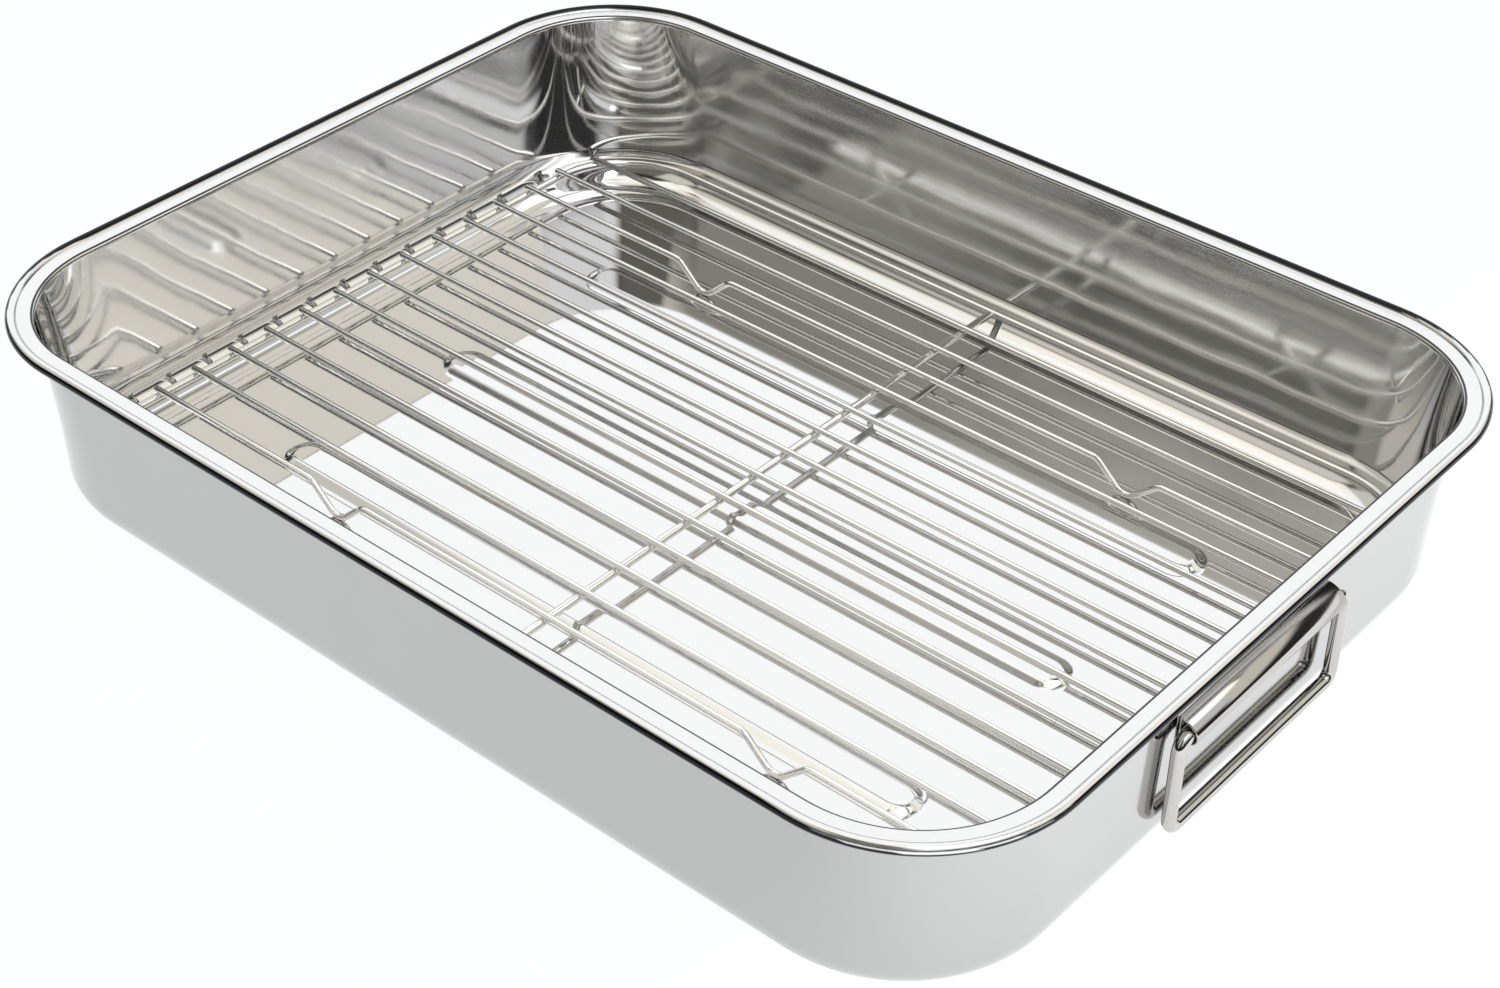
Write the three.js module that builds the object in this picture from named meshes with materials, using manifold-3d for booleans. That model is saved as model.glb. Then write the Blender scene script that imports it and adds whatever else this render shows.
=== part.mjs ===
// Roasting pan with a lift-out wire rack and two drop handles, in polished stainless steel.
// Millimetres, +Z up. The origin is the middle of the underside, and +X runs along the pan.
import * as THREE from 'three';
import { mergeVertices } from 'three/addons/utils/BufferGeometryUtils.js';
import Module from 'manifold-3d';

// Pan
const rimLength = 400;
const rimWidth = 308;
const panHeight = 68;
const rimCorner = 52.5;
const sheet = 0.8;
const beadRadius = 1.8;
const beadRise = 1.3;
const flangeWidth = 9;
const flangeBend = 0.5;
const wallDraft = 1;
const footSwell = 8;
const floorFillet = 12;

// Stiffening ribs pressed up into the floor
const ribCount = 3;
const ribWidth = 18;
const ribHeight = 1.8;
const ribFlank = 5;
const ribEndGap = 57;
const footToRib = 7;

// Rack
const rackWire = 2.2;
const frameWire = 2.8;
const crossWire = 2.8;
const wireCount = 16;
const sideWireGap = 18;
const rackSideGap = 1.6;
const rackEndGap = 5.8;
const rackCornerGap = 1;
const frameLeastBend = 6;
const footWirePlace = 3;
const footDepth = 9;
const footSpan = 24;
const footReach = 92;
const footBend = 5.5;
const footGap = 0.1;

// Drop handles and the straps that hold them
const handleRod = 4.4;
const handleWidth = 86;
const handleBend = 3.8;
const handleTableGap = 9.3;
const hingeBelowRim = 24;
const strapSheet = 0.8;
const strapRise = 5;
const strapDrop = 5;
const strapEndGap = 0.1;
const rodClearance = 0.3;
const curlEnd = THREE.MathUtils.degToRad(-100);

// Clearance left where two pieces are welded together
const weldGap = 0.1;

// Facets
const cornerSteps = 12;
const filletSteps = 5;
const beadSteps = 4;
const bendSteps = 3;
const ribEndSteps = 10;
const ribFlankSteps = 4;
const wireSides = 8;
const frameSides = 10;
const rodSides = 12;
const wireBendSteps = 5;
const loopBendSteps = 7;
const curlSegments = 10;
const knotSlack = 1e-6;

// Sizes that follow from the ones above
const flangeRound = flangeBend + sheet;
const flangeHeight = panHeight - beadRise;
const wallTopHeight = flangeHeight - flangeRound;
const wallFootHeight = sheet + floorFillet;
const wallFootInset = flangeWidth + wallDraft;
const floorInset = wallFootInset + floorFillet;
const wallSlope = wallDraft / (wallTopHeight - wallFootHeight);
const footHalfLength = rimLength / 2 - wallFootInset;
const footHalfWidth = rimWidth / 2 - wallFootInset;
const footCorner = rimCorner - wallFootInset + footSwell;

const rackFloor = sheet + footGap;
const wireHeight = rackWire / 2 + footDepth;
const frameHeight = wireHeight - rackWire / 2 - weldGap - frameWire / 2;
const crossHeight = wireHeight - rackWire / 2 - weldGap - crossWire / 2;
const frameHalfLength = footHalfLength - frameSeat(rackEndGap);
const frameHalfWidth = footHalfWidth - frameSeat(rackSideGap);
const frameCorner = nestedCorner();
const wirePitch = 2 * (frameHalfWidth - sideWireGap) / (wireCount - 1);

const ribPitch = Math.abs(wireLine(footWirePlace - 1)) - footToRib - ribWidth / 2;
const ribLength = 2 * (rimLength / 2 - wallFootInset - ribEndGap);

const boreRadius = handleRod / 2 + rodClearance;
const curlRadius = boreRadius + strapSheet;
const hingeHeight = panHeight - hingeBelowRim;
const wallAtHinge = rimLength / 2 - flangeWidth + sheet - wallSlope * (wallTopHeight - hingeHeight);
const hingeReach = wallAtHinge + weldGap + curlRadius;
const handleDrop = hingeHeight - handleRod / 2 - handleTableGap;
const strapLength = handleWidth - 2 * (handleBend + strapEndGap);

// How far across the pan a long wire lies
function wireLine(index) {
  return (index - (wireCount - 1) / 2) * wirePitch;
}

// How far in from the wall's foot the frame's middle line lies, with a given gap to the rounded foot
function frameSeat(gap) {
  const below = Math.max(wallFootHeight - rackFloor - frameHeight, 0);
  const clear = floorFillet - frameWire / 2 - gap;
  return floorFillet - Math.sqrt(Math.max(clear ** 2 - below ** 2, 0));
}

// Corner radius that keeps the rack's frame clear of the pan's rounded corner on the diagonal
function nestedCorner() {
  const reachX = frameHalfLength + frameWire / 2 - (footHalfLength - footCorner);
  const reachY = frameHalfWidth + frameWire / 2 - (footHalfWidth - footCorner);
  const allowed = footCorner + frameWire / 2 - frameSeat(rackCornerGap);
  const sum = reachX + reachY;
  const spread = sum ** 2 - 2 * (reachX ** 2 + reachY ** 2 - allowed ** 2);
  const shortening = 2 - Math.SQRT2;
  const outerRadius = (sum - Math.sqrt(Math.max(spread, 0))) / shortening;
  return Math.max(outerRadius - frameWire / 2, frameLeastBend);
}

// A path through given points, where each equal step lands on one of them
class KnotPath extends THREE.Curve {
  constructor(knots, closed) {
    super();
    this.knots = closed ? [...knots, knots[0]] : knots;
    this.closed = closed;
    this.steps = this.knots.length - 1;
  }

  getPointAt(along, target = new THREE.Vector3()) {
    const place = THREE.MathUtils.clamp(along, 0, 1) * this.steps;
    const first = Math.min(Math.floor(place + knotSlack), this.steps - 1);
    return target.lerpVectors(this.knots[first], this.knots[first + 1], place - first);
  }

  run(index) {
    const around = (index + this.steps) % this.steps;
    const between = THREE.MathUtils.clamp(index, 0, this.steps - 1);
    const wrapped = this.closed ? around : between;
    return new THREE.Vector3().subVectors(this.knots[wrapped + 1], this.knots[wrapped]).normalize();
  }

  getTangentAt(along, target = new THREE.Vector3()) {
    const knot = Math.round(along * this.steps);
    return target.addVectors(this.run(knot - 1), this.run(knot)).normalize();
  }
}

// Points of a bent wire: each inner corner of the outline becomes an arc
function bentKnots(corners, radius, steps, closed) {
  const knots = [];
  corners.forEach((corner, index) => {
    const before = corners[(index + corners.length - 1) % corners.length];
    const after = corners[(index + 1) % corners.length];
    const isEnd = !closed && (index === 0 || index === corners.length - 1);
    if (isEnd) {
      knots.push(corner.clone());
      return;
    }
    const toBefore = new THREE.Vector3().subVectors(before, corner).normalize();
    const toAfter = new THREE.Vector3().subVectors(after, corner).normalize();
    const halfAngle = toBefore.angleTo(toAfter) / 2;
    const inward = new THREE.Vector3().addVectors(toBefore, toAfter).normalize();
    const sideways = new THREE.Vector3().subVectors(toAfter, toBefore).normalize();
    const centre = corner.clone().addScaledVector(inward, radius / Math.sin(halfAngle));
    const sweep = Math.PI / 2 - halfAngle;
    for (let step = 0; step <= steps; step += 1) {
      const turn = sweep * (2 * step / steps - 1);
      const knot = centre.clone();
      knot.addScaledVector(inward, -radius * Math.cos(turn));
      knot.addScaledVector(sideways, radius * Math.sin(turn));
      knots.push(knot);
    }
  });
  return knots;
}

// A round wire with flat cut ends
function wireAlong(knots, diameter, sides) {
  const path = new KnotPath(knots, false);
  const points = Array.from({ length: sides }, (_, side) => {
    const angle = 2 * Math.PI * (side + 0.5) / sides;
    return new THREE.Vector2(Math.cos(angle), Math.sin(angle)).multiplyScalar(diameter / 2);
  });
  return new THREE.ExtrudeGeometry(new THREE.Shape(points), { steps: path.steps, extrudePath: path });
}

// A round wire bent into a closed loop
function wireLoop(corners, bendRadius, diameter, sides) {
  const path = new KnotPath(bentKnots(corners, bendRadius, loopBendSteps, true), true);
  return new THREE.TubeGeometry(path, path.steps, diameter / 2, sides, true);
}

// A closed skin through rings of points: the first ring is a face that looks up, the last one looks down
function loft(rings) {
  const count = rings[0].length;
  const positions = rings.flat().flatMap((point) => [point.x, point.y, point.z]);
  const indices = [];
  for (let ring = 0; ring < rings.length - 1; ring += 1) {
    for (let place = 0; place < count; place += 1) {
      const next = (place + 1) % count;
      const here = ring * count;
      const there = here + count;
      indices.push(here + place, there + place, there + next);
      indices.push(here + place, there + next, here + next);
    }
  }
  const lastRing = (rings.length - 1) * count;
  const flat = (ring) => ring.map((point) => new THREE.Vector2(point.x, point.y));
  for (const [a, b, c] of THREE.ShapeUtils.triangulateShape(flat(rings[0]), [])) {
    indices.push(a, b, c);
  }
  for (const [a, b, c] of THREE.ShapeUtils.triangulateShape(flat(rings.at(-1)), [])) {
    indices.push(lastRing + a, lastRing + c, lastRing + b);
  }
  const geometry = new THREE.BufferGeometry();
  geometry.setAttribute('position', new THREE.Float32BufferAttribute(positions, 3));
  geometry.setIndex(indices);
  return geometry;
}

// A level rounded rectangle, anticlockwise from above
function roundedRing(halfLength, halfWidth, corner, height, steps) {
  const centres = [[1, 1], [-1, 1], [-1, -1], [1, -1]];
  return centres.flatMap(([signX, signY], quarter) => Array.from({ length: steps + 1 }, (_, step) => {
    const angle = Math.PI / 2 * (quarter + step / steps);
    const x = signX * (halfLength - corner) + corner * Math.cos(angle);
    const y = signY * (halfWidth - corner) + corner * Math.sin(angle);
    return new THREE.Vector3(x, y, height);
  }));
}

// Points of an arc in the pan's section, as distance in from the rim and height
function sectionArc(inset, height, radius, fromDegrees, toDegrees, steps) {
  return Array.from({ length: steps + 1 }, (_, step) => {
    const angle = THREE.MathUtils.degToRad(fromDegrees + (toDegrees - fromDegrees) * step / steps);
    return { inset: inset - radius * Math.cos(angle), height: height + radius * Math.sin(angle) };
  });
}

// The rolled bead round the rim stands proud of the flange, from the flange's top over to its underside
function beadArcs() {
  const beadHeight = panHeight - beadRadius;
  const angleAt = (height) => THREE.MathUtils.radToDeg(Math.asin((height - beadHeight) / beadRadius));
  const turns = [180 - angleAt(flangeHeight), 90, 0, -90, angleAt(flangeHeight - sheet) - 180];
  return turns.slice(1).flatMap((turn, index) => {
    const arc = sectionArc(beadRadius, beadHeight, beadRadius, turns[index], turn, beadSteps);
    return index === 0 ? arc : arc.slice(1);
  });
}

// The pan's section runs up the inside, over the flange, round the bead and down the outside
function panSection() {
  const bendInset = flangeWidth - flangeRound;
  return [
    ...sectionArc(floorInset, wallFootHeight, floorFillet, -90, 0, filletSteps),
    ...sectionArc(bendInset, wallTopHeight, flangeRound, 180, 90, bendSteps),
    ...beadArcs(),
    ...sectionArc(bendInset, wallTopHeight, flangeBend, 90, 180, bendSteps),
    ...sectionArc(floorInset, wallFootHeight, floorFillet + sheet, 0, -90, filletSteps),
  ];
}

// The corners of the drawn sheet grow rounder towards the foot of the wall
function panRing({ inset, height }) {
  const above = THREE.MathUtils.clamp((height - wallFootHeight) / (wallTopHeight - wallFootHeight), 0, 1);
  const corner = rimCorner - inset + footSwell * (1 - above ** 2);
  return roundedRing(rimLength / 2 - inset, rimWidth / 2 - inset, corner, height, cornerSteps);
}

// A pressed rib: a long round-ended mound whose flanks ease into a flat top
function ribMound(top, bottom, width, length, across) {
  const rings = [];
  for (let step = 0; step <= ribFlankSteps; step += 1) {
    const down = step / ribFlankSteps;
    const height = top + (bottom - top) * (1 - Math.cos(Math.PI * down)) / 2;
    const halfWidth = width / 2 - ribFlank * (1 - down);
    const halfLength = length / 2 - ribFlank * (1 - down);
    const ring = roundedRing(halfLength, halfWidth, halfWidth, height, ribEndSteps);
    rings.push(ring.map((point) => point.setY(point.y + across)));
  }
  return loft(rings);
}

const wasm = await Module();
wasm.setup();

function toSolid(geometry) {
  const bare = mergeVertices(geometry);
  const mesh = new wasm.Mesh({
    numProp: 3,
    vertProperties: new Float32Array(bare.attributes.position.array),
    triVerts: new Uint32Array(bare.index.array),
  });
  return new wasm.Manifold(mesh);
}

function toGeometry(solid) {
  const mesh = solid.getMesh();
  const geometry = new THREE.BufferGeometry();
  geometry.setAttribute('position', new THREE.BufferAttribute(mesh.vertProperties, 3));
  geometry.setIndex(new THREE.BufferAttribute(mesh.triVerts, 1));
  geometry.computeVertexNormals();
  return geometry;
}

// The drawn pan: floor, walls, flange and rolled bead in one sheet, with ribs pressed up in the floor
function makePan() {
  let pan = toSolid(loft(panSection().map(panRing)));
  for (let rib = 0; rib < ribCount; rib += 1) {
    const across = (rib - (ribCount - 1) / 2) * ribPitch;
    const outside = ribMound(sheet + ribHeight, sheet / 2, ribWidth, ribLength, across);
    const hollowWidth = ribWidth - 2 * sheet;
    const hollowLength = ribLength - 2 * sheet;
    const hollow = ribMound(ribHeight, -sheet / 2, hollowWidth, hollowLength, across);
    pan = pan.add(toSolid(outside)).subtract(toSolid(hollow));
  }
  return toGeometry(pan);
}

// A strap lies on the end wall, slopes out over the handle's top bar and curls under it
function makeStrap() {
  const wallSide = (height) => wallSlope * height - curlRadius;
  const top = new THREE.Vector2(wallSide(strapRise), strapRise);
  const touch = top.angle() - Math.acos(curlRadius / top.length());
  const innerRun = boreRadius * (1 + Math.cos(touch)) / Math.sin(touch);
  const innerRise = boreRadius * Math.sin(touch) + innerRun * Math.cos(touch);
  const profile = new THREE.Shape();
  profile.moveTo(wallSide(-strapDrop), -strapDrop);
  profile.lineTo(wallSide(-strapDrop) + strapSheet, -strapDrop);
  profile.lineTo(-boreRadius, innerRise);
  profile.lineTo(boreRadius * Math.cos(touch), boreRadius * Math.sin(touch));
  profile.absarc(0, 0, boreRadius, touch, curlEnd, true);
  profile.lineTo(curlRadius * Math.cos(curlEnd), curlRadius * Math.sin(curlEnd));
  profile.absarc(0, 0, curlRadius, curlEnd, touch, false);
  profile.lineTo(top.x, top.y);
  profile.closePath();
  const settings = { depth: strapLength, bevelEnabled: false, curveSegments: curlSegments };
  const strap = new THREE.ExtrudeGeometry(profile, settings);
  strap.rotateX(Math.PI / 2);
  strap.translate(0, strapLength / 2, 0);
  return strap;
}

// A handle is one rod bent into a rectangle that hangs from its top bar
function makeHandle() {
  const side = handleWidth / 2;
  const corners = [
    new THREE.Vector3(0, -side, 0),
    new THREE.Vector3(0, side, 0),
    new THREE.Vector3(0, side, -handleDrop),
    new THREE.Vector3(0, -side, -handleDrop),
  ];
  return wireLoop(corners, handleBend, handleRod, rodSides);
}

function makeRackFrame() {
  const corners = [[1, 1], [-1, 1], [-1, -1], [1, -1]].map(([signX, signY]) => (
    new THREE.Vector3(signX * frameHalfLength, signY * frameHalfWidth, frameHeight)
  ));
  return wireLoop(corners, frameCorner, frameWire, frameSides);
}

function makeCrossWire() {
  const reach = frameHalfWidth - frameWire / 2 - weldGap;
  const ends = [-reach, reach].map((y) => new THREE.Vector3(0, y, crossHeight));
  return wireAlong(ends, crossWire, wireSides);
}

// A long wire stops flush with the outside of the frame, also where the frame rounds its corner
function wireReach(across) {
  const intoCorner = Math.max(Math.abs(across) - (frameHalfWidth - frameCorner), 0);
  const corner = frameCorner - Math.sqrt(frameCorner ** 2 - intoCorner ** 2);
  return frameHalfLength - corner + frameWire / 2;
}

function makeLongWire(across) {
  const reach = wireReach(across);
  const ends = [-reach, reach].map((x) => new THREE.Vector3(x, across, wireHeight));
  return wireAlong(ends, rackWire, wireSides);
}

// How deep the sharp corner of a foot lies, so that its bend reaches just to the foot's depth
function sharpFootDepth() {
  const steep = (footSpan / 2 / footBend) ** 2;
  const above = footDepth - footBend;
  const root = Math.sqrt(steep * above ** 2 + (steep - 1) * (footSpan / 2) ** 2);
  return (steep * above + root) / (steep - 1);
}

// Two of the long wires dip into V-shaped feet that stand on the pan's floor
function makeFootWire(across) {
  const reach = wireReach(across);
  const low = wireHeight - sharpFootDepth();
  const corners = [new THREE.Vector3(-reach, across, wireHeight)];
  for (const foot of [-footReach, footReach]) {
    corners.push(new THREE.Vector3(foot - footSpan / 2, across, wireHeight));
    corners.push(new THREE.Vector3(foot, across, low));
    corners.push(new THREE.Vector3(foot + footSpan / 2, across, wireHeight));
  }
  corners.push(new THREE.Vector3(reach, across, wireHeight));
  return wireAlong(bentKnots(corners, footBend, wireBendSteps, false), rackWire, wireSides);
}

const panSteel = new THREE.MeshStandardMaterial({ color: 0xd6d6d3, metalness: 1, roughness: 0.1 });
const strapSteel = new THREE.MeshStandardMaterial({ color: 0xa9a8a4, metalness: 1, roughness: 0.18 });
const handleSteel = new THREE.MeshStandardMaterial({ color: 0xc4c3be, metalness: 1, roughness: 0.15 });
const rackSteel = new THREE.MeshStandardMaterial({ color: 0xcfcec8, metalness: 1, roughness: 0.2 });

function addPiece(group, name, geometry, material) {
  const piece = new THREE.Mesh(geometry, material);
  piece.name = name;
  group.add(piece);
}

const part = new THREE.Group();
addPiece(part, 'pan', makePan(), panSteel);

for (const [side, turn] of [['right', 0], ['left', Math.PI]]) {
  const hinge = new THREE.Group();
  hinge.position.set(hingeReach * Math.cos(turn), 0, hingeHeight);
  hinge.rotation.z = turn;
  addPiece(hinge, `handle_strap_${side}`, makeStrap(), strapSteel);
  addPiece(hinge, `handle_${side}`, makeHandle(), handleSteel);
  part.add(hinge);
}

const rack = new THREE.Group();
rack.position.z = rackFloor;
addPiece(rack, 'rack_frame', makeRackFrame(), rackSteel);
addPiece(rack, 'rack_cross_wire', makeCrossWire(), rackSteel);
for (let index = 0; index < wireCount; index += 1) {
  const place = Math.min(index, wireCount - 1 - index) + 1;
  const across = wireLine(index);
  if (place === footWirePlace) {
    const edge = across < 0 ? 'front' : 'back';
    addPiece(rack, `rack_foot_wire_${edge}`, makeFootWire(across), rackSteel);
  } else {
    addPiece(rack, `rack_wire_${String(index + 1).padStart(2, '0')}`, makeLongWire(across), rackSteel);
  }
}
part.add(rack);

export default part;
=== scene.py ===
"""Polished steel roasting pan with a lift-out wire rack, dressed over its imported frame. Metres, +Z up."""
import math

import bmesh
import bpy
from mathutils import Matrix, Vector


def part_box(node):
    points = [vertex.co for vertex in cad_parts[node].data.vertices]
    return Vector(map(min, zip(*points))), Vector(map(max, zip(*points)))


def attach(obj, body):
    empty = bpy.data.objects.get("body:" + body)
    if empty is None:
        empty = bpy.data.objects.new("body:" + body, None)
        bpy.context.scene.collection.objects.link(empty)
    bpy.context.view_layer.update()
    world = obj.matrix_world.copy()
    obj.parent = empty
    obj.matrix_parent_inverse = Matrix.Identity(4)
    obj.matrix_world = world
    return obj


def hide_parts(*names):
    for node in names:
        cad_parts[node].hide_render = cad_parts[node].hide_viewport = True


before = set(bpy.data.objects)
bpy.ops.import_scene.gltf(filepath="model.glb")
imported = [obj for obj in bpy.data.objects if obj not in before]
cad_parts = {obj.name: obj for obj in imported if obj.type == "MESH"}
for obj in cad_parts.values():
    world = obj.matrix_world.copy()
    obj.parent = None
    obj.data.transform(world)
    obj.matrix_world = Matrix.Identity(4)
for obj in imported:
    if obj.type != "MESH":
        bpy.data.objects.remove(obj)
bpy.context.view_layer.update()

MM = 0.001
ALONG = Vector((1, 0, 0))
ACROSS = Vector((0, 1, 0))
UP = Vector((0, 0, 1))
# The four corners of a level rectangle, anticlockwise from above
QUARTERS = ((1, 1), (-1, 1), (-1, -1), (1, -1))

# Pan sheet
SHEET = 0.8 * MM
RIM_CORNER = 52.5 * MM
BEAD_RADIUS = 1.8 * MM
BEAD_RISE = 1.3 * MM
BEAD_FILLET = 0.7 * MM
FLANGE_WIDTH = 9 * MM
FLANGE_BEND = 0.5 * MM
WALL_DRAFT = 1 * MM
FOOT_SWELL = 8 * MM
FLOOR_FILLET = 12 * MM
EDGE_SUPPORT = 0.3 * MM

# Ribs pressed up into the floor
RIB_COUNT = 3
RIB_WIDTH = 18 * MM
RIB_HEIGHT = 1.8 * MM
RIB_FLANK = 5 * MM
RIB_END_GAP = 57 * MM
FOOT_TO_RIB = 7 * MM

# Rack
RACK_WIRE = 2.2 * MM
FRAME_WIRE = 2.8 * MM
FRAME_CORNER = 35.02 * MM
FOOT_DEPTH = 9 * MM
FOOT_SPAN = 24 * MM
FOOT_REACH = 92 * MM
FOOT_BEND = 5.5 * MM
WIRE_END_ROUND = 0.35 * MM

# Handles and their straps
HANDLE_ROD = 4.4 * MM
HANDLE_BEND = 3.8 * MM
STRAP_SHEET = 0.8 * MM
STRAP_RISE = 5 * MM
STRAP_ARCH = 9 * MM
STRAP_DROP = 5 * MM
ROD_CLEARANCE = 0.3 * MM
CURL_END = math.radians(-100)
STRAP_EDGE_ROUND = 0.25 * MM

# Smoothness of the meshes
CORNER_STEPS = 28
STRAIGHT_STEPS = 40
FILLET_STEPS = 18
BEND_STEPS = 8
BEAD_STEPS = 28
WALL_STEPS = 20
FLANGE_STEPS = 2
RIB_END_STEPS = 24
RIB_FLANK_STEPS = 12
WIRE_SIDES = 20
ROD_SIDES = 32
BEND_PATH_STEPS = 14
ARCH_STEPS = 16
CURL_STEPS = 40
SHARP_ANGLE = math.radians(50)

# Finish of the sheet: share of bright steel colour, the rest being near-black painted shade, roughness, and
# ripple height as a share of a millimetre
FLOOR = (1, 0.03, 0.004)
FOOT = (1, 0.04, 0.03)
WALL = (1, 0.09, 0.3)
CORNER = (1, 0.05, 0.3)
FLANGE = (1, 0.2, 0.01)
# Painted shade: a near-black line on the flange's inner bend
FLANGE_EDGE_SHADE = (0.05, 0.1, 0)
# Painted shade: the outer walls are coloured darker than the inner ones
SHADED_OUTSIDE = (0.66, 0.08, 0.03)
BEAD_CREST = (1, 0.2, 0)
# Painted shade: the near-black band round the bead
BEAD_SHADE = (0, 0.1, 0)

# Band of near-black painted shade along the bead, in degrees up and over from the bead's outermost line:
# where it ends on average, how much that grows on the sides that look along X and Y, how much it falls at
# corners, and the band's width
BEAD_SHADE_BELOW = 92
BEAD_SHADE_MORE = Vector((-48, 50))
BEAD_SHADE_CORNER = 40
BEAD_SHADE_SPAN = 100

# Band of near-black painted shade on the bend from the flange into the wall, in degrees down from the flange
FLANGE_EDGE_FROM = 10
FLANGE_EDGE_TO = 42

# Height up to which the floor's finish goes, and how squarely a side looks along X or Y to count as a wall
FLOOR_FINISH_TO = 1.2 * MM
SQUARE_WALL = 0.985

# The photograph's camera
PHOTO_WIDTH = 1500
FOCAL_PIXELS = 2708
SENSOR_WIDTH = 36
CAMERA_AZIMUTH = math.radians(39.89)
CAMERA_ELEVATION = math.radians(36.98)
CAMERA_ROLL = math.radians(1.01)
CAMERA_DISTANCE = 779.3 * MM
CAMERA_AIM = Vector((54.7 * MM, -58.1 * MM, 66.5 * MM))

# The floor, which glows more towards the right: from where to where along X, and how much
FLOOR_SIZE = 60
FLOOR_DROP = 0.15 * MM
FLOOR_COLOUR = (0.03, 0.03, 0.03, 1)
FLOOR_ROUGHNESS = 0.9
GLOW_RANGE = (100 * MM, 300 * MM)
GLOW_STRENGTH = (0.98, 1.46)
PALE = (0.985, 0.993, 1, 1)

pan_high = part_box("pan")[1]
HALF_LENGTH = pan_high.x
HALF_WIDTH = pan_high.y
PAN_HEIGHT = pan_high.z


# Meshes

def new_object(name, data):
    thing = bpy.data.objects.new(name, data)
    bpy.context.scene.collection.objects.link(thing)
    return thing


def new_mesh(name, verts, faces):
    mesh = bpy.data.meshes.new(name)
    mesh.from_pydata([tuple(v) for v in verts], [], faces)
    return mesh


def add_piece(mesh, material, body, node):
    """A smooth object of a mesh, named as the mesh is, that rides on a body and stands for a node."""
    mesh.polygons.foreach_set("use_smooth", [True] * len(mesh.polygons))
    mesh.set_sharp_from_angle(angle=SHARP_ANGLE)
    mesh.materials.append(material)
    piece = new_object(mesh.name, mesh)
    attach(piece, body)
    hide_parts(node)


def ring_faces(rings, count, closed):
    """Quads between neighbouring rings of equal size, and from the last back to the first if closed."""
    faces = []
    for ring in range(rings if closed else rings - 1):
        here = ring * count
        there = (ring + 1) % rings * count
        for place in range(count):
            after = (place + 1) % count
            faces.append((here + place, there + place, there + after, here + after))
    return faces


def bent_path(corners, radius, steps, closed):
    """Points of a bent wire: each inner corner of the outline becomes an arc."""
    path = []
    for index, corner in enumerate(corners):
        if not closed and index in (0, len(corners) - 1):
            path.append(corner)
            continue
        to_before = (corners[index - 1] - corner).normalized()
        to_after = (corners[(index + 1) % len(corners)] - corner).normalized()
        half_angle = to_before.angle(to_after) / 2
        inward = (to_before + to_after).normalized()
        sideways = (to_after - to_before).normalized()
        centre = corner + inward * (radius / math.sin(half_angle))
        sweep = math.pi / 2 - half_angle
        for step in range(steps + 1):
            turn = sweep * (2 * step / steps - 1)
            path.append(centre - inward * (radius * math.cos(turn)) + sideways * (radius * math.sin(turn)))
    return path


def tube(path, plane_normal, radius, sides, closed):
    """A round tube along a path that lies in one plane, with rounded ends where it is open."""
    rings = [(point, radius) for point in path]
    if not closed:
        rings = rounded_end(path[0], path[1], radius)[::-1] + rings[1:-1]
        rings += rounded_end(path[-1], path[-2], radius)
    verts = []
    for index, (point, size) in enumerate(rings):
        before = rings[index - 1][0] if closed or index else point
        after = rings[(index + 1) % len(rings)][0] if closed or index < len(rings) - 1 else point
        tangent = ((after - point).normalized() + (point - before).normalized()).normalized()
        side = tangent.cross(plane_normal)
        for corner in range(sides):
            angle = 2 * math.pi * corner / sides
            verts.append(point + (side * math.cos(angle) + plane_normal * math.sin(angle)) * size)
    faces = ring_faces(len(rings), sides, closed)
    if not closed:
        faces.append(tuple(range(sides)))
        faces.append(tuple(reversed(range(len(verts) - sides, len(verts)))))
    return verts, faces


def rounded_end(end, inner, radius):
    """Rings that round the cut end of a wire, from full size to the end face."""
    outward = (end - inner).normalized()
    rings = []
    for turn in (0, math.pi / 4, math.pi / 2):
        back = WIRE_END_ROUND * (1 - math.sin(turn))
        rings.append((end - outward * back, radius - WIRE_END_ROUND * (1 - math.cos(turn))))
    return rings


# Pan

FLANGE_HEIGHT = PAN_HEIGHT - BEAD_RISE
FLANGE_ROUND = FLANGE_BEND + SHEET
WALL_TOP = FLANGE_HEIGHT - FLANGE_ROUND
WALL_FOOT = SHEET + FLOOR_FILLET
WALL_FOOT_INSET = FLANGE_WIDTH + WALL_DRAFT
WALL_SLOPE = WALL_DRAFT / (WALL_TOP - WALL_FOOT)
WALL_LEAN = math.degrees(math.atan(WALL_SLOPE))
LEAN_STRETCH = math.hypot(1, WALL_SLOPE)
FILLET_INSET = WALL_FOOT_INSET + FLOOR_FILLET * LEAN_STRETCH
BEND_INSET = FLANGE_WIDTH - FLANGE_ROUND * LEAN_STRETCH


def section_arc(inset, height, radius, start, end, steps):
    """Points of an arc in the pan's section, as distance in from the rim and height."""
    points = []
    for step in range(steps + 1):
        angle = math.radians(start + (end - start) * step / steps)
        points.append((inset - radius * math.cos(angle), height + radius * math.sin(angle)))
    return points


def between(start, end, steps):
    """Points of a straight stretch of the section, with close ones by its ends that keep the shading flat."""
    run = math.dist(start, end)
    shares = [EDGE_SUPPORT / run]
    shares += [step / steps for step in range(1, steps)]
    shares += [1 - EDGE_SUPPORT / run]
    return [tuple(a + (b - a) * share for a, b in zip(start, end)) for share in shares]


def chain(*stretches):
    """Arcs joined by straight stretches: each item is an arc, or the number of steps to the next arc."""
    points = []
    for index, stretch in enumerate(stretches):
        if isinstance(stretch, int):
            points += between(points[-1], stretches[index + 1][0], stretch)
        else:
            points += stretch
    return points


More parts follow.
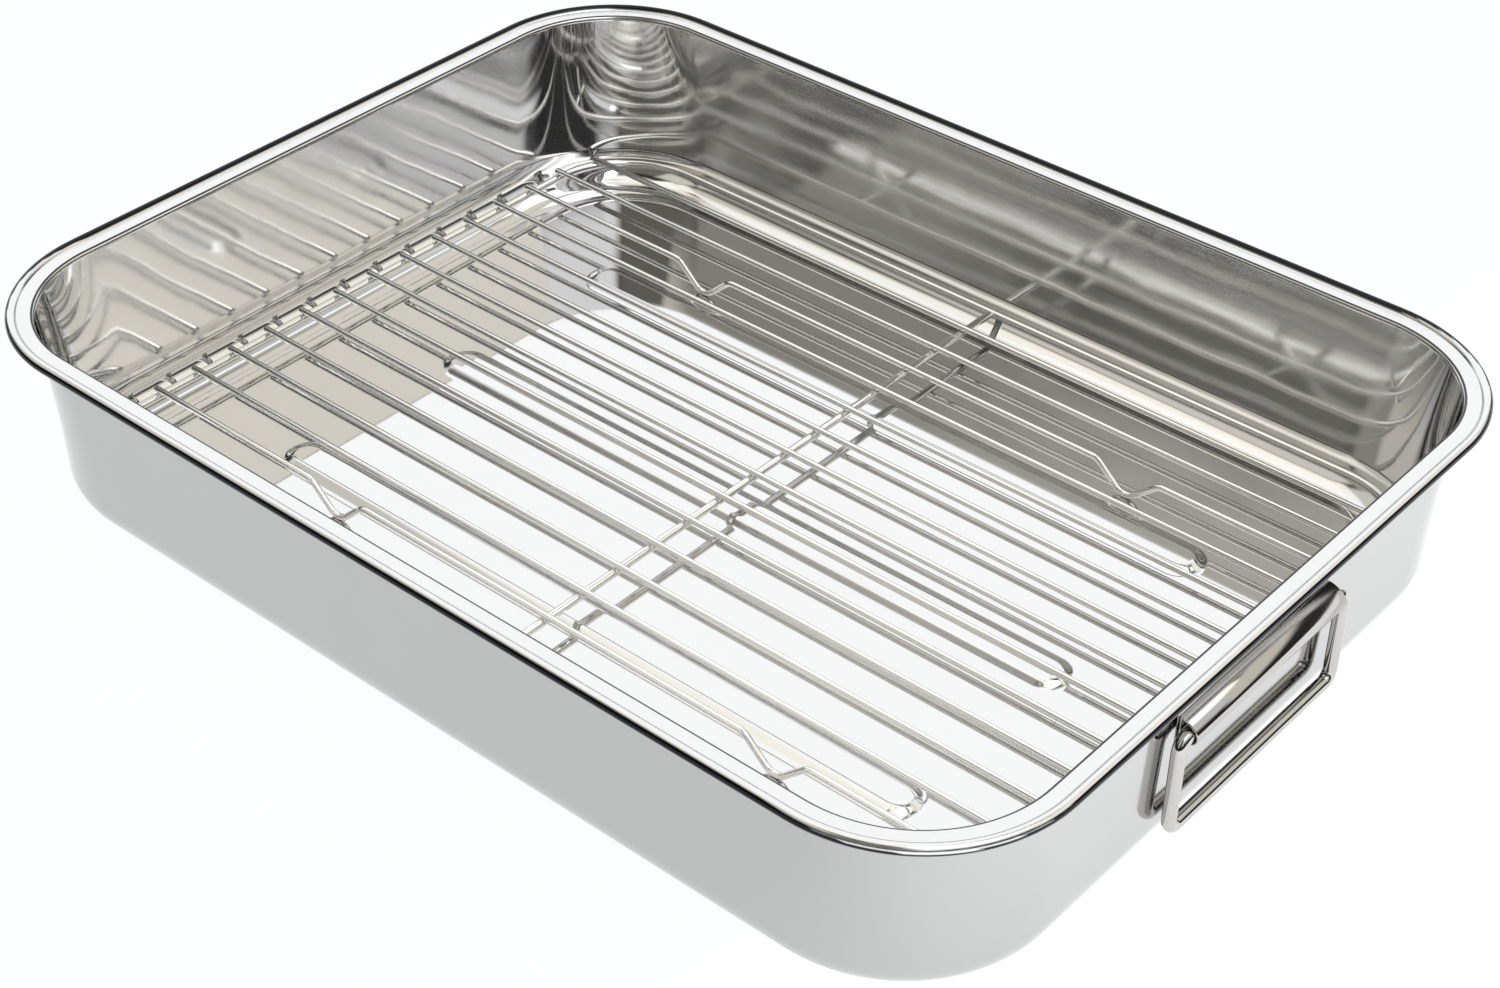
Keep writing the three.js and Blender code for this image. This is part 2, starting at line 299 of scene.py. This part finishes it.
def pan_section():
    """Up the inside, over the flange, round the bead and down the outside."""
    bead_height = PAN_HEIGHT - BEAD_RADIUS
    fillet_height = FLANGE_HEIGHT + BEAD_FILLET
    reach = BEAD_RADIUS + BEAD_FILLET
    fillet_rise = fillet_height - bead_height
    fillet_turn = math.degrees(math.asin(fillet_rise / reach))
    bead_fillet_inset = BEAD_RADIUS + math.sqrt(reach ** 2 - fillet_rise ** 2)
    under_rise = FLANGE_HEIGHT - SHEET - bead_height
    under_turn = math.degrees(math.asin(under_rise / BEAD_RADIUS))
    floor_in = section_arc(FILLET_INSET, WALL_FOOT, FLOOR_FILLET, -90, -WALL_LEAN, FILLET_STEPS)
    bend_in = section_arc(BEND_INSET, WALL_TOP, FLANGE_ROUND, 180 - WALL_LEAN, 90, BEND_STEPS)
    onto_bead = section_arc(bead_fillet_inset, fillet_height, BEAD_FILLET, -90, -fillet_turn, BEND_STEPS)
    bead = section_arc(BEAD_RADIUS, bead_height, BEAD_RADIUS, 180 - fillet_turn, under_turn - 180, BEAD_STEPS)
    bend_out = section_arc(BEND_INSET, WALL_TOP, FLANGE_BEND, 90, 180 - WALL_LEAN, BEND_STEPS)
    floor_out = section_arc(FILLET_INSET, WALL_FOOT, FLOOR_FILLET + SHEET, -WALL_LEAN, -90, FILLET_STEPS)
    return chain(floor_in, WALL_STEPS, bend_in, FLANGE_STEPS, onto_bead, bead[1:],
                 FLANGE_STEPS, bend_out, WALL_STEPS, floor_out)


def sheet_finish(inset, height, inside, outward):
    """Share of bright colour against painted shade, haze and ripple of the sheet at one place of its section,
    on the side that looks outward so.
    """
    bead_height = PAN_HEIGHT - BEAD_RADIUS
    off_bead = math.dist((inset, height), (BEAD_RADIUS, bead_height)) - BEAD_RADIUS
    if inset < 2 * BEAD_RADIUS + BEAD_FILLET and off_bead < EDGE_SUPPORT:
        turn = math.degrees(math.atan2(height - bead_height, BEAD_RADIUS - inset))
        # Painted shade: a near-black band on the bead, placed by which way each side looks
        shade_top = BEAD_SHADE_BELOW + outward.dot(BEAD_SHADE_MORE) - BEAD_SHADE_CORNER * abs(outward.x * outward.y)
        return BEAD_SHADE if shade_top - BEAD_SHADE_SPAN < turn < shade_top else BEAD_CREST
    if height > WALL_TOP:
        rise = min((height - WALL_TOP) / FLANGE_ROUND, 1)
        bend = math.degrees(math.acos(rise))
        # Painted shade: a near-black line on the inner bend of the flange
        return FLANGE_EDGE_SHADE if inside and FLANGE_EDGE_FROM < bend < FLANGE_EDGE_TO else FLANGE
    if not inside:
        # Painted shade: the outside gets a darker colour
        return SHADED_OUTSIDE
    if height < FLOOR_FINISH_TO:
        return FLOOR
    if height < WALL_FOOT:
        return FOOT
    return CORNER if max(abs(outward.x), abs(outward.y)) < SQUARE_WALL else WALL


def outward_at(ring, place):
    """Which way the pan's side looks at one point of a level ring."""
    run = ring[(place + 1) % len(ring)] - ring[place - 1]
    return Vector((run.y, -run.x)).normalized()


def pan_ring(inset, height):
    """A level ring of the pan, whose corners grow rounder towards the foot of the wall."""
    above = min(max((height - WALL_FOOT) / (WALL_TOP - WALL_FOOT), 0), 1)
    corner = RIM_CORNER - inset + FOOT_SWELL * (1 - above ** 2)
    return rounded_ring(HALF_LENGTH - inset, HALF_WIDTH - inset, corner, height, CORNER_STEPS, STRAIGHT_STEPS)


def rounded_ring(half_length, half_width, corner, height, corner_steps, straight_steps):
    """A level rounded rectangle, anticlockwise from above, with points along its straight sides."""
    ring = []
    for quarter, (sign_x, sign_y) in enumerate(QUARTERS):
        for step in range(corner_steps + 1):
            angle = math.pi / 2 * (quarter + step / corner_steps)
            x = sign_x * (half_length - corner) + corner * math.cos(angle)
            y = sign_y * (half_width - corner) + corner * math.sin(angle)
            ring.append(Vector((x, y, height)))
        last = ring[-1]
        turned = (-last.x, last.y) if quarter % 2 == 0 else (last.x, -last.y)
        for step in range(1, straight_steps):
            share = step / straight_steps
            ring.append(last.lerp(Vector((*turned, height)), share))
    return ring


def rib_rings(width, length, top, bottom, across):
    """Rings of a rib from its flat top down an eased flank, with one more on the floor around it."""
    rings = []
    for step in range(RIB_FLANK_STEPS + 1):
        down = step / RIB_FLANK_STEPS
        height = top + (bottom - top) * (1 - math.cos(math.pi * down)) / 2
        grow = RIB_FLANK * (1 - down)
        rings.append(stadium(width / 2 - grow, length / 2 - grow, height, across))
    inner = stadium(width / 2 - RIB_FLANK - EDGE_SUPPORT, length / 2 - RIB_FLANK - EDGE_SUPPORT, top, across)
    outer = stadium(width / 2 + EDGE_SUPPORT, length / 2 + EDGE_SUPPORT, bottom, across)
    return [inner, *rings, outer]


def stadium(half_width, half_length, height, across):
    """A level ring with half-round ends, off the middle by a given amount."""
    ring = rounded_ring(half_length, half_width, half_width, height, RIB_END_STEPS, 1)
    return [point + ACROSS * across for point in ring]


def add_rings(bm, rings):
    """Lofts rings into a bmesh and returns the verts of the first and the last one."""
    verts = [bm.verts.new(point) for ring in rings for point in ring]
    count = len(rings[0])
    for face in ring_faces(len(rings), count, False):
        bm.faces.new([verts[place] for place in face])
    return verts[:count], verts[-count:]


def fill_flat(bm, loops):
    """Fills the flat area inside the first loop and outside the others."""
    edges = []
    for loop in loops:
        for place in range(len(loop)):
            edges.append(bm.edges.get((loop[place - 1], loop[place])))
    bmesh.ops.triangle_fill(bm, use_beauty=True, use_dissolve=False, edges=edges)


def make_pan(material):
    """The drawn sheet: floor with ribs, walls, flange and rolled bead."""
    bm = bmesh.new()
    section = pan_section()
    inner_floor = (FILLET_INSET + EDGE_SUPPORT, SHEET)
    outer_floor = (FILLET_INSET + EDGE_SUPPORT, 0)
    places = [inner_floor, *section, outer_floor]
    rings = [pan_ring(*point) for point in places]
    floor_edge, base_edge = add_rings(bm, rings)
    crest = max(range(len(places)), key=lambda index: places[index][1])
    outward = [outward_at(rings[crest], place) for place in range(len(rings[crest]))]
    finish = []
    for index, point in enumerate(places):
        finish += [sheet_finish(*point, index < crest, side) for side in outward]
    foot_low, foot_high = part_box("rack_foot_wire_back")
    rib_pitch = (foot_low.y + foot_high.y) / 2 - FOOT_TO_RIB - RIB_WIDTH / 2
    rib_length = 2 * (HALF_LENGTH - WALL_FOOT_INSET - RIB_END_GAP)
    floor_loops = [floor_edge]
    base_loops = [base_edge]
    for rib in range(RIB_COUNT):
        across = (rib - (RIB_COUNT - 1) / 2) * rib_pitch
        mound = rib_rings(RIB_WIDTH, rib_length, SHEET + RIB_HEIGHT, SHEET, across)
        top, around = add_rings(bm, mound)
        bm.faces.new(top)
        floor_loops.append(around)
        hollow = rib_rings(RIB_WIDTH - 2 * SHEET, rib_length - 2 * SHEET, RIB_HEIGHT, 0, across)
        top, around = add_rings(bm, hollow)
        bm.faces.new(top)
        base_loops.append(around)
    fill_flat(bm, floor_loops)
    fill_flat(bm, base_loops)
    bmesh.ops.recalc_face_normals(bm, faces=bm.faces[:])
    mesh = bpy.data.meshes.new("pan_sheet")
    bm.to_mesh(mesh)
    bm.free()
    finish += [FLOOR] * (len(mesh.vertices) - len(finish))
    # The first attribute carries painted shade: below 1 the colour goes towards near-black
    for number, name in enumerate(("unshaded", "haze", "ripple")):
        values = mesh.attributes.new(name, "FLOAT", "POINT")
        values.data.foreach_set("value", [value[number] for value in finish])
    add_piece(mesh, material, "pan", "pan")


# Handles

def make_handle(side, material):
    """One rod bent into a rectangle that hangs from its top bar."""
    low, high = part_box(f"handle_{side}")
    rod = HANDLE_ROD / 2
    x = (low.x + high.x) / 2
    half = (high.y - low.y) / 2 - rod
    top = high.z - rod
    bottom = low.z + rod
    corners = [Vector((x, y, z)) for y, z in ((-half, top), (half, top), (half, bottom), (-half, bottom))]
    path = bent_path(corners, HANDLE_BEND, BEND_PATH_STEPS, True)
    mesh = new_mesh(f"handle_rod_{side}", *tube(path, ALONG, rod, ROD_SIDES, True))
    add_piece(mesh, material, f"{side}_handle", f"handle_{side}")


def arc_points(centre, radius, start, end, steps):
    """Points of an arc in the strap's section, as distance out from the rod's axis and height above it."""
    angles = [start + (end - start) * step / steps for step in range(steps + 1)]
    return [(centre.x + radius * math.cos(angle), centre.y + radius * math.sin(angle)) for angle in angles]


def strap_outline(shrink):
    """The rod's side and the outer side of the strap's section, made smaller all round by a given amount.

    The strip stands against the wall, arches out over the rod and runs on into the curl without a kink.
    """
    bore = HANDLE_ROD / 2 + ROD_CLEARANCE
    curl = bore + STRAP_SHEET
    top = Vector((WALL_SLOPE * STRAP_RISE - curl, STRAP_RISE))
    off_axis = STRAP_ARCH - curl
    share = (STRAP_ARCH ** 2 - off_axis ** 2 - top.length_squared) / (2 * off_axis * top.length)
    touch = math.atan2(top.y, top.x) - math.acos(share)
    arch = Vector((math.cos(touch), math.sin(touch))) * -off_axis
    foot = shrink - STRAP_DROP
    lip = CURL_END + shrink / curl
    sides = []
    for wall_gap, inward in ((-bore - shrink, STRAP_SHEET - shrink), (top.x + shrink, shrink)):
        radius = STRAP_ARCH - inward
        start = math.acos((wall_gap - arch.x) / radius)
        side = [(wall_gap + WALL_SLOPE * (foot - STRAP_RISE), foot)]
        side += arc_points(arch, radius, start, touch, ARCH_STEPS)
        side += arc_points(Vector((0, 0)), curl - inward, touch, lip, CURL_STEPS)[1:]
        sides.append(side)
    return sides


def make_strap(side, turn, material):
    """A strip that lies on the end wall, arches out over the handle's top bar and curls under it."""
    low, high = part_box(f"handle_strap_{side}")
    rod_low, rod_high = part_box(f"handle_{side}")
    axis_x = (rod_low.x + rod_high.x) / 2
    axis_z = rod_high.z - HANDLE_ROD / 2
    ends = ((low.y, STRAP_EDGE_ROUND), (low.y + STRAP_EDGE_ROUND, 0))
    ends += ((high.y - STRAP_EDGE_ROUND, 0), (high.y, STRAP_EDGE_ROUND))
    verts = []
    for y, shrink in ends:
        inner, outer = strap_outline(shrink)
        verts += [Vector((axis_x + turn * out, y, axis_z + up)) for out, up in inner + outer[::-1]]
    count = len(verts) // len(ends)
    faces = ring_faces(len(ends), count, False)
    for start in (0, len(verts) - count):
        for place in range(count // 2 - 1):
            near, far = start + place, start + count - 1 - place
            faces.append((near, near + 1, far - 1, far))
    mesh = new_mesh(f"strap_{side}", verts, faces)
    turn_outward(mesh)
    add_piece(mesh, material, "pan", f"handle_strap_{side}")


def turn_outward(mesh):
    """Makes all faces of a closed mesh look outwards."""
    bm = bmesh.new()
    bm.from_mesh(mesh)
    bmesh.ops.recalc_face_normals(bm, faces=bm.faces[:])
    bm.to_mesh(mesh)
    bm.free()


# Rack

def add_wire(name, path, plane_normal, diameter, closed, material, node):
    """A wire of the rack, along a path that lies in one plane."""
    mesh = new_mesh(name, *tube(path, plane_normal, diameter / 2, WIRE_SIDES, closed))
    add_piece(mesh, material, "rack", node)


def middle_of(node):
    low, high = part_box(node)
    return (low + high) / 2


def make_frame(material):
    """The closed loop that carries the ends of the long wires."""
    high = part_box("rack_frame")[1]
    half_x = high.x - FRAME_WIRE / 2
    half_y = high.y - FRAME_WIRE / 2
    level = middle_of("rack_frame").z
    corners = [Vector((x * half_x, y * half_y, level)) for x, y in QUARTERS]
    path = bent_path(corners, FRAME_CORNER, BEND_PATH_STEPS, True)
    add_wire("rack_rim_wire", path, UP, FRAME_WIRE, True, material, "rack_frame")


def make_straight_wire(name, diameter, direction, material, node):
    """A wire through the middle of its node's box, as long as the box is in that direction."""
    low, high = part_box(node)
    half = direction * (high - low).dot(direction) / 2
    ends = [middle_of(node) - half, middle_of(node) + half]
    add_wire(name, ends, UP, diameter, False, material, node)


def sharp_foot_depth():
    """How deep the sharp corner of a foot lies, so that its bend reaches just to the foot's depth."""
    steep = (FOOT_SPAN / 2 / FOOT_BEND) ** 2
    above = FOOT_DEPTH - FOOT_BEND
    root = math.sqrt(steep * above ** 2 + (steep - 1) * (FOOT_SPAN / 2) ** 2)
    return (steep * above + root) / (steep - 1)


def make_foot_wire(edge, top, material):
    """A long wire that dips into two V-shaped feet."""
    node = f"rack_foot_wire_{edge}"
    low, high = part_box(node)
    tip = top - sharp_foot_depth()
    places = [(low.x, top)]
    for foot in (-FOOT_REACH, FOOT_REACH):
        places += [(foot - FOOT_SPAN / 2, top), (foot, tip), (foot + FOOT_SPAN / 2, top)]
    places.append((high.x, top))
    corners = [Vector((x, middle_of(node).y, z)) for x, z in places]
    path = bent_path(corners, FOOT_BEND, BEND_PATH_STEPS, False)
    add_wire(f"rack_foot_bar_{edge}", path, ACROSS, RACK_WIRE, False, material, node)


def make_rack(material):
    """The frame, the cross wire under the long wires, the long wires and the two that are bent into feet."""
    make_frame(material)
    make_straight_wire("rack_middle_wire", FRAME_WIRE, ACROSS, material, "rack_cross_wire")
    wires = sorted(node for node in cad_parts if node.startswith("rack_wire_"))
    for node in wires:
        make_straight_wire(node.replace("rack_wire", "rack_bar"), RACK_WIRE, ALONG, material, node)
    top = middle_of(wires[0]).z
    for edge in ("front", "back"):
        make_foot_wire(edge, top, material)


# Node graphs

def add_node(tree, kind, inputs=None, **settings):
    """A node with its settings, and with its inputs set or linked by name or number."""
    node = tree.nodes.new(kind)
    for name, value in settings.items():
        setattr(node, name, value)
    for key, value in (inputs or {}).items():
        if isinstance(value, bpy.types.NodeSocket):
            tree.links.new(value, node.inputs[key])
        else:
            node.inputs[key].default_value = value
    return node


def math_node(tree, operation, *values):
    return add_node(tree, "ShaderNodeMath", dict(enumerate(values)), operation=operation).outputs[0]


def remap(tree, value, low, high, to_low=0, to_high=1):
    """A number eased from one range into another."""
    inputs = {"Value": value, "From Min": low, "From Max": high, "To Min": to_low, "To Max": to_high}
    return add_node(tree, "ShaderNodeMapRange", inputs, interpolation_type="SMOOTHSTEP").outputs["Result"]


def mix_colours(tree, share, first, second):
    """Colour between two others. Mix nodes take colours at inputs 6 and 7 and give one at output 2."""
    inputs = {0: share, 6: first, 7: second}
    return add_node(tree, "ShaderNodeMix", inputs, data_type="RGBA").outputs[2]


def noise(tree, place, scale, detail, stretch=(1, 1, 1)):
    """Soft noise of a scale in features per metre, finer along the axes that are stretched more."""
    stretched = add_node(tree, "ShaderNodeMapping", {"Vector": place, "Scale": stretch}).outputs[0]
    inputs = {"Vector": stretched, "Scale": scale, "Detail": detail}
    return add_node(tree, "ShaderNodeTexNoise", inputs).outputs[0]


# Materials

BRIGHT_STEEL = (0.765, 0.765, 0.762, 1)
WORN_STEEL = (0.745, 0.742, 0.735, 1)
# Near-black colour of the painted shade
SHADE_STEEL = (0.02, 0.021, 0.024, 1)

# Noise scales in features per metre, with the smudges' detail and the range in which they change the gloss
SMUDGES = 28
SMUDGE_DETAIL = 3
SMUDGE_RANGE = (0.35, 0.7)
ROLLING_LINES = 60
ROLLING_DETAIL = 2
ROLLING_STRETCH = (0.25, 10, 10)
SLOW_WAVES = 24
QUICK_WAVES = 80
WAVE_DETAIL = 1
QUICK_WAVE_SHARE = 0.12

# How smudges and rolling lines together scale the sheet's roughness
HAZE_RANGE = (0.1, 0.45)
HAZE_SCALE = (0.85, 1.3)

# Polishing lines of the sheet run up its walls
ANISOTROPY = 0.5
QUARTER_TURN = 0.25


def new_material(name):
    """A material with its node tree and its shader."""
    material = bpy.data.materials.new(name)
    material.use_nodes = True
    return material, material.node_tree, material.node_tree.nodes["Principled BSDF"]


def metal(name, metallic):
    """A material with the given share of metal, with its object coordinates and smudges."""
    material, tree, shader = new_material(name)
    shader.inputs["Metallic"].default_value = metallic
    place = add_node(tree, "ShaderNodeTexCoord").outputs["Object"]
    smudge = noise(tree, place, SMUDGES, SMUDGE_DETAIL)
    return material, tree, shader, place, smudge


def steel(name, tone, warm_tone, gloss, satin, metallic=1):
    """Polished steel with smudges that are a little warmer and rougher."""
    material, tree, shader, _, smudge = metal(name, metallic)
    colour = mix_colours(tree, smudge, (*tone, 1), (*warm_tone, 1))
    tree.links.new(colour, shader.inputs["Base Color"])
    tree.links.new(remap(tree, smudge, *SMUDGE_RANGE, gloss, satin), shader.inputs["Roughness"])
    return material


def pan_polish():
    """Sheet steel: mirror floor, hazy walls polished upwards, and painted shade: a near-black band on the
    bead, a near-black line on the flange's inner bend, and darker outer walls.
    """
    material, tree, shader, place, smudge = metal("pan_polish", 1)
    shader.inputs["Anisotropic"].default_value = ANISOTROPY
    shader.inputs["Anisotropic Rotation"].default_value = QUARTER_TURN
    round_pan = add_node(tree, "ShaderNodeTangent", direction_type="RADIAL", axis="Z").outputs[0]
    tree.links.new(round_pan, shader.inputs["Tangent"])
    unshaded, haze, ripple = (add_node(tree, "ShaderNodeAttribute", attribute_name=name).outputs["Fac"]
                            for name in ("unshaded", "haze", "ripple"))
    bright = mix_colours(tree, smudge, BRIGHT_STEEL, WORN_STEEL)
    # Painted shade: the colour goes towards near-black where the sheet's first attribute is below 1
    colour = mix_colours(tree, unshaded, SHADE_STEEL, bright)
    tree.links.new(colour, shader.inputs["Base Color"])
    rolling = noise(tree, place, ROLLING_LINES, ROLLING_DETAIL, ROLLING_STRETCH)
    varied = remap(tree, math_node(tree, "MULTIPLY", smudge, rolling), *HAZE_RANGE, *HAZE_SCALE)
    tree.links.new(math_node(tree, "MULTIPLY", haze, varied), shader.inputs["Roughness"])
    slow = noise(tree, place, SLOW_WAVES, WAVE_DETAIL)
    quick = noise(tree, place, QUICK_WAVES, WAVE_DETAIL)
    both = math_node(tree, "MULTIPLY_ADD", quick, QUICK_WAVE_SHARE, slow)
    waves = math_node(tree, "MULTIPLY", both, ripple)
    bump = add_node(tree, "ShaderNodeBump", {"Height": waves, "Strength": 1, "Distance": 1 * MM})
    tree.links.new(bump.outputs["Normal"], shader.inputs["Normal"])
    return material


pan_steel = pan_polish()
strap_steel = steel("strap_polish", tone=(0.47, 0.455, 0.44), warm_tone=(0.41, 0.395, 0.38),
                    gloss=0.08, satin=0.16)
handle_steel = steel("handle_polish", tone=(0.53, 0.52, 0.495), warm_tone=(0.47, 0.46, 0.44),
                     gloss=0.05, satin=0.1)
rack_steel = steel("rack_polish", tone=(0.94, 0.935, 0.91), warm_tone=(0.89, 0.88, 0.855),
                   gloss=0.08, satin=0.15, metallic=0.85)

make_pan(pan_steel)
for side, turn in (("right", 1), ("left", -1)):
    make_handle(side, handle_steel)
    make_strap(side, turn, strap_steel)
make_rack(rack_steel)


# Studio

def make_floor():
    """A pale floor that glows enough to lose its shadows, and more on the lit side."""
    half = FLOOR_SIZE / 2
    corners = [(x * half, y * half, -FLOOR_DROP) for x, y in QUARTERS]
    mesh = new_mesh("studio_floor", corners, [(0, 1, 2, 3)])
    floor = new_object("studio_floor", mesh)
    material, tree, shader = new_material("studio_floor")
    shader.inputs["Base Color"].default_value = FLOOR_COLOUR
    shader.inputs["Roughness"].default_value = FLOOR_ROUGHNESS
    shader.inputs["Specular IOR Level"].default_value = 0
    shader.inputs["Emission Color"].default_value = PALE
    place = add_node(tree, "ShaderNodeTexCoord").outputs["Object"]
    along = add_node(tree, "ShaderNodeSeparateXYZ", {0: place}).outputs["X"]
    glow = remap(tree, along, *GLOW_RANGE, *GLOW_STRENGTH)
    tree.links.new(glow, shader.inputs["Emission Strength"])
    mesh.materials.append(material)


def make_camera():
    """The photograph's camera, above the front and to the right of the pan."""
    data = bpy.data.cameras.new("photo_camera")
    data.sensor_fit = "HORIZONTAL"
    data.sensor_width = SENSOR_WIDTH
    data.lens = FOCAL_PIXELS / PHOTO_WIDTH * SENSOR_WIDTH
    camera = new_object("photo_camera", data)
    level_back = ALONG * math.sin(CAMERA_AZIMUTH) - ACROSS * math.cos(CAMERA_AZIMUTH)
    back = level_back * math.cos(CAMERA_ELEVATION) + UP * math.sin(CAMERA_ELEVATION)
    camera.location = CAMERA_AIM + back * CAMERA_DISTANCE
    level = (-back).to_track_quat("-Z", "Y").to_matrix()
    camera.rotation_euler = (level @ Matrix.Rotation(CAMERA_ROLL, 3, "Z")).to_euler()
    bpy.context.scene.camera = camera


# Soft boxes: azimuth of the middle, half width, lowest and highest elevation in degrees, and strength
SOFT_BOXES = (
    (133, 45, 6, 66, 1.25),
    (52, 34, 24, 56, 1.1),
    (-10, 38, 32, 54, 1.1),
    (0, 50, 52, 78, 2.6),
    (-42, 8, 24, 44, 1.1),
    (-165, 24, 25, 60, 0.72),
    (-165, 32, 50, 72, 1.2),
    (-134, 12, 20, 40, 0.37),
    (-116, 18, 36, 60, 0.75),
    (-86, 36, 20, 60, 0.18),
    (84, 16, 40, 70, 0.65),
    (168, 67, 58, 80, 1.3),
    (0, 180, 72, 90, 1.3),
)
BOX_EDGE = 6
ROOM_LIGHT = 0.04
# Sides of the room that are lit a little cooler: azimuth of the middle and half width
COOL_SIDES = ((133, 55), (-12, 36))
COOL_LIGHT = (0.98, 0.99, 1, 1)
WARM_LIGHT = (1, 0.957, 0.865, 1)


def soft_box(tree, azimuth, elevation, middle, half, bottom, top, strength):
    """Light from one soft-edged patch of the room, as a number for each direction."""
    edge = math.radians(BOX_EDGE)
    turned = math_node(tree, "SUBTRACT", azimuth, math.radians(middle))
    off = math_node(tree, "ABSOLUTE", math_node(tree, "WRAP", turned, math.pi, -math.pi))
    across = remap(tree, off, math.radians(half) + edge, math.radians(half) - edge)
    above = remap(tree, elevation, math.radians(bottom) - edge, math.radians(bottom) + edge)
    below = remap(tree, elevation, math.radians(top) + edge, math.radians(top) - edge)
    inside = math_node(tree, "MULTIPLY", math_node(tree, "MULTIPLY", above, below), across)
    return math_node(tree, "MULTIPLY", inside, strength)


def make_world():
    """A dim room with soft boxes all round, and for the camera a pale backdrop past the floor's edge."""
    world = bpy.data.worlds.new("studio")
    bpy.context.scene.world = world
    world.use_nodes = True
    tree = world.node_tree
    direction = add_node(tree, "ShaderNodeTexCoord").outputs["Generated"]
    x, y, z = add_node(tree, "ShaderNodeSeparateXYZ", {0: direction}).outputs
    azimuth = math_node(tree, "ARCTAN2", y, x)
    elevation = math_node(tree, "ARCSINE", z)
    light = ROOM_LIGHT
    for box in SOFT_BOXES:
        light = math_node(tree, "MAXIMUM", light, soft_box(tree, azimuth, elevation, *box))
    cool = 0
    for side in COOL_SIDES:
        cool = math_node(tree, "MAXIMUM", cool, soft_box(tree, azimuth, elevation, *side, -90, 90, 1))
    lights = tree.nodes["Background"]
    tree.links.new(mix_colours(tree, cool, WARM_LIGHT, COOL_LIGHT), lights.inputs["Color"])
    tree.links.new(light, lights.inputs["Strength"])
    backdrop = add_node(tree, "ShaderNodeBackground", {"Color": PALE})
    seen = add_node(tree, "ShaderNodeLightPath").outputs["Is Camera Ray"]
    room = add_node(tree, "ShaderNodeMixShader", {0: seen, 1: lights.outputs[0], 2: backdrop.outputs[0]})
    tree.links.new(room.outputs[0], tree.nodes["World Output"].inputs["Surface"])


make_floor()
make_camera()
make_world()
bpy.context.scene.view_settings.view_transform = "Standard"
